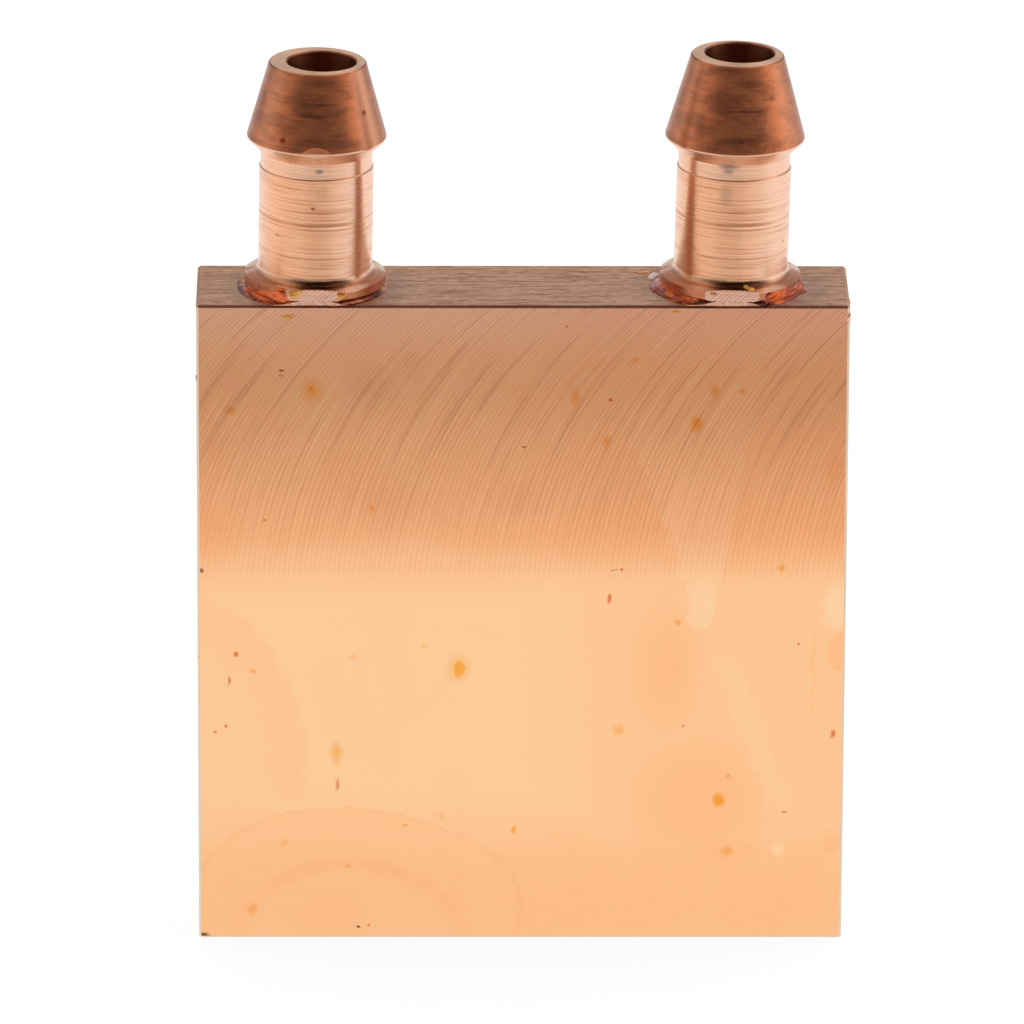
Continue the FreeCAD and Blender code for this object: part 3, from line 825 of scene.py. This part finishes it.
def skin_points():
    """Even points along the skin's path: radius, height, the outward normal and the reach."""
    lengths = [0.0]
    for a, b in zip(SKIN, SKIN[1:]):
        lengths.append(lengths[-1] + math.dist(a, b))
    points = []
    for j in range(SKIN_STEPS + 1):
        wanted = lengths[-1] * j / SKIN_STEPS
        k = max(i for i in range(len(SKIN) - 1) if lengths[i] <= wanted + 1e-9)
        share = (wanted - lengths[k]) / (lengths[k + 1] - lengths[k])
        place = Vector(SKIN[k]).lerp(Vector(SKIN[k + 1]), share)
        run = Vector(SKIN[k + 1]) - Vector(SKIN[k])
        outward = Vector((-run.y, run.x)).normalized()
        points.append((place, outward, wanted - lengths[SKIN_EDGE]))
    return points


def swell(lumps, angle, reach, place):
    """Thickness of the crust at one point, and less than nothing where there is none."""
    most = 0.0
    for lump_angle, lump_reach, wide, tall, thick in lumps:
        turn = (angle - lump_angle + 180) % 360 - 180
        off = (turn / wide) ** 2 + ((reach - lump_reach) / tall) ** 2
        most = max(most, thick * (1 - off))
    if most <= 0:
        return -SKIN_SINK
    rough = noise.noise(place * 1.3) + 0.35 * noise.noise(place * 3.2)
    return most * (1 + 0.3 * rough) - SKIN_SINK


def crust(name, side, lumps, material, proud):
    """A closed crust that lies on a collar, its bead and the block's top, with a torn edge."""
    centre, axis = PORTS[side]
    lean = Vector((0, 0, 1)).rotation_difference(axis)
    path = skin_points()
    outer, inner, thick = {}, {}, {}
    for i in range(SKIN_TURNS):
        angle = 360 * i / SKIN_TURNS
        turn = math.radians(angle)
        way = Vector((math.sin(turn), -math.cos(turn), 0))
        for j, (place, outward, reach) in enumerate(path):
            base = way * place.x + Vector((0, 0, place.y))
            normal = way * outward.x + Vector((0, 0, outward.y))
            amount = swell(lumps, angle, reach, base + centre)
            thick[i, j] = amount
            outer[i, j] = within_block(centre + lean @ (base + normal * amount), proud)
            back = base - normal * (SKIN_SINK + SKIN_BACK)
            inner[i, j] = within_block(centre + lean @ back, proud - 0.1)
    cells = set()
    for i in range(SKIN_TURNS):
        for j in range(SKIN_STEPS):
            after = (i + 1) % SKIN_TURNS
            corners = ((i, j), (after, j), (after, j + 1), (i, j + 1))
            if max(thick[corner] for corner in corners) > SKIN_TRACE:
                cells.add((i, j))
    return add_shell(name, cells, outer, inner, material)


def within_block(point, proud):
    """The same point, no further out than the block's broad faces and a little."""
    reach = REAR + proud
    point.y = max(-reach, min(reach, point.y))
    return point


def add_shell(name, cells, outer, inner, material):
    """A closed mesh: outer skin, inner skin, and a rim wherever a neighbouring cell is missing."""
    mesh = bmesh.new()
    made = {}

    def vertex(skin, key):
        if (skin, key) not in made:
            place = (outer if skin == "outer" else inner)[key]
            made[skin, key] = mesh.verts.new(place * MM)
        return made[skin, key]

    for i, j in sorted(cells):
        after = (i + 1) % SKIN_TURNS
        before = (i - 1) % SKIN_TURNS
        corners = ((i, j), (after, j), (after, j + 1), (i, j + 1))
        beside = ((i, j - 1), (after, j), (i, j + 1), (before, j))
        mesh.faces.new([vertex("outer", key) for key in corners])
        mesh.faces.new([vertex("inner", key) for key in reversed(corners)])
        for k, neighbour in enumerate(beside):
            if neighbour not in cells:
                a, b = corners[k], corners[(k + 1) % 4]
                rim = (("outer", b), ("outer", a), ("inner", a), ("inner", b))
                mesh.faces.new([vertex(*point) for point in rim])
    bmesh.ops.recalc_face_normals(mesh, faces=mesh.faces)
    return add_piece(name, mesh, material)


def add_piece(name, mesh, material):
    """A piece of the scene's own, which rides on the plate."""
    data = bpy.data.meshes.new(name)
    mesh.to_mesh(data)
    mesh.free()
    for polygon in data.polygons:
        polygon.use_smooth = True
    data.materials.append(material)
    piece = bpy.data.objects.new(name, data)
    bpy.context.scene.collection.objects.link(piece)
    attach(piece, "root")
    return piece


def add_lumps(name, places, material, roughness):
    """Small irregular lumps, each given by its centre and half sizes in millimetres."""
    mesh = bmesh.new()
    for centre, size in places:
        made = bmesh.ops.create_icosphere(mesh, subdivisions=4, radius=1.0)
        for point in made["verts"]:
            bulge = 1 + roughness * noise.noise(point.co * 1.3 + Vector(centre))
            bulge += 0.4 * roughness * noise.noise(point.co * 4.0 + Vector(centre))
            offset = Vector([a * b for a, b in zip(point.co, size)]) * bulge
            point.co = (Vector(centre) + offset) * MM
    return add_piece(name, mesh, material)


def residue():
    """Crusts of flux round both collars, flecks of it on the block, and burrs at its corners."""
    glass = {kind: flux_glass(f"{kind}_flux", *look) for kind, look in FLUX_LOOKS.items()}
    for (side, kind), lumps in FLUX_LUMPS.items():
        crust(f"{side}_{kind}_flux", side, lumps, glass[kind], FLUX_PROUD[kind])
    add_lumps("flux_flecks", FLECKS, glass["amber"], 0.7)
    add_lumps("corner_burrs", BURRS, burr_metal(), 0.6)


def floor():
    """A pale sheet, bright near the plate, with the camera's shade some way in front of it."""
    bpy.ops.mesh.primitive_plane_add(size=FLOOR_SIZE, location=(0, 0, -FLOOR_DROP))
    sheet = bpy.context.object
    sheet.name = "floor"
    material = bpy.data.materials.new("floor")
    material.use_nodes = True
    g = Graph(material.node_tree)
    x, y, _ = g.split(g.add("ShaderNodeTexCoord").outputs["Object"])
    near = g.ramp(y, *GLOW_START, 0.0, 0.05)
    shade = g.product(g.ramp(y, *SHADE_START, 0.0, 0.47), g.ramp(y, *SHADE_END, 0.12, 1.0))
    shade = g.product(shade, g.ramp(g.absolute(x), *SHADE_ASIDE))
    glow = g.less(g.total(near, FLOOR_GLOW), shade)
    path = g.add("ShaderNodeLightPath")
    mirror = g.add("ShaderNodeEmission", {"Color": WHITE, "Strength": glow})
    pale = g.add("ShaderNodeEmission", {"Color": WHITE, "Strength": FLOOR_LIGHT})
    matte = g.add("ShaderNodeBsdfDiffuse", {"Color": FLOOR_GREY})
    lit = g.add("ShaderNodeAddShader", {0: pale.outputs[0], 1: matte.outputs[0]})
    shaders = {0: path.outputs["Is Camera Ray"], 1: matte.outputs[0], 2: lit.outputs[0]}
    for_camera = g.add("ShaderNodeMixShader", shaders)
    shiny = g.most(path.outputs["Is Glossy Ray"], path.outputs["Is Transmission Ray"])
    shaders = {0: shiny, 1: for_camera.outputs[0], 2: mirror.outputs[0]}
    mixed = g.add("ShaderNodeMixShader", shaders)
    g.add("ShaderNodeOutputMaterial", {"Surface": mixed.outputs[0]})
    sheet.data.materials.append(material)


def studio():
    """Soft light from all round, with a dark camera side and a white background."""
    world = bpy.data.worlds.new("studio")
    bpy.context.scene.world = world
    world.use_nodes = True
    g = Graph(world.node_tree)
    x, y, z = g.split(g.add("ShaderNodeTexCoord").outputs["Generated"])
    level = g.math("SQRT", g.total(g.product(x, x), g.product(y, y)))
    level = g.most(level, 0.001)
    ahead = g.math("DIVIDE", g.product(y, -1.0), level)
    aside = g.math("DIVIDE", x, level)
    dark = g.product(g.ramp(ahead, 0.35, 0.85), g.ramp(z, 0.995, 0.95))
    dark = g.product(dark, g.ramp(z, 0.25, 0.55, 0.76, 0.95))
    behind = g.ramp(ahead, -0.8, -1.0, 0.0, BEHIND_LIGHT)
    beside = g.product(g.ramp(ahead, 0.6, 0.0), g.ramp(ahead, -0.85, -0.2))
    right = g.product(beside, g.ramp(aside, 0.0, 0.5, 0.0, RIGHT_LIGHT))
    left = g.product(beside, g.ramp(aside, 0.0, -0.5, 0.0, LEFT_LIGHT))
    above = g.ramp(z, 0.5, 0.9, 0.0, TOP_LIGHT)
    glow = g.math("MINIMUM", g.total(LEAST_LIGHT, behind, right, left, above), 1.0)
    strength = g.product(glow, g.less(1.0, dark))
    path = g.add("ShaderNodeLightPath")
    strength = g.blend(path.outputs["Is Camera Ray"], strength, 1.0)
    background = g.add("ShaderNodeBackground", {"Color": WHITE, "Strength": strength})
    g.add("ShaderNodeOutputWorld", {"Surface": background.outputs[0]})


def camera():
    """The camera, a little to the left of the plate's middle and looking down on it."""
    forward = Vector((
        math.sin(CAMERA_YAW) * math.cos(CAMERA_PITCH),
        math.cos(CAMERA_YAW) * math.cos(CAMERA_PITCH),
        -math.sin(CAMERA_PITCH),
    ))
    level = Vector((math.cos(CAMERA_YAW), -math.sin(CAMERA_YAW), 0.0))
    down = forward.cross(level)
    right = level * math.cos(CAMERA_ROLL) + down * math.sin(CAMERA_ROLL)
    up = level * math.sin(CAMERA_ROLL) - down * math.cos(CAMERA_ROLL)
    data = bpy.data.cameras.new("camera")
    data.sensor_width = SENSOR
    data.lens = LENS
    data.clip_start = 0.01
    eye = bpy.data.objects.new("camera", data)
    turn = Matrix((right, up, -forward)).transposed().to_4x4()
    eye.matrix_world = Matrix.Translation(CAMERA_TARGET - forward * CAMERA_DISTANCE) @ turn
    bpy.context.scene.collection.objects.link(eye)
    bpy.context.scene.camera = eye


PORTS = {side: port_of(f"{side}_hose_fitting") for side in ("inlet", "outlet")}
copper = milled_copper()
braze = braze_metal()
dress("block_body", copper)
dress("rear_cover", copper)
dress("cover_braze_seam", braze)
for side in PORTS:
    dress(f"{side}_hose_fitting", turned_copper(side))
    dress(f"{side}_braze_joint", braze)
residue()
floor()
studio()
camera()

bpy.context.scene.view_settings.view_transform = "Standard"
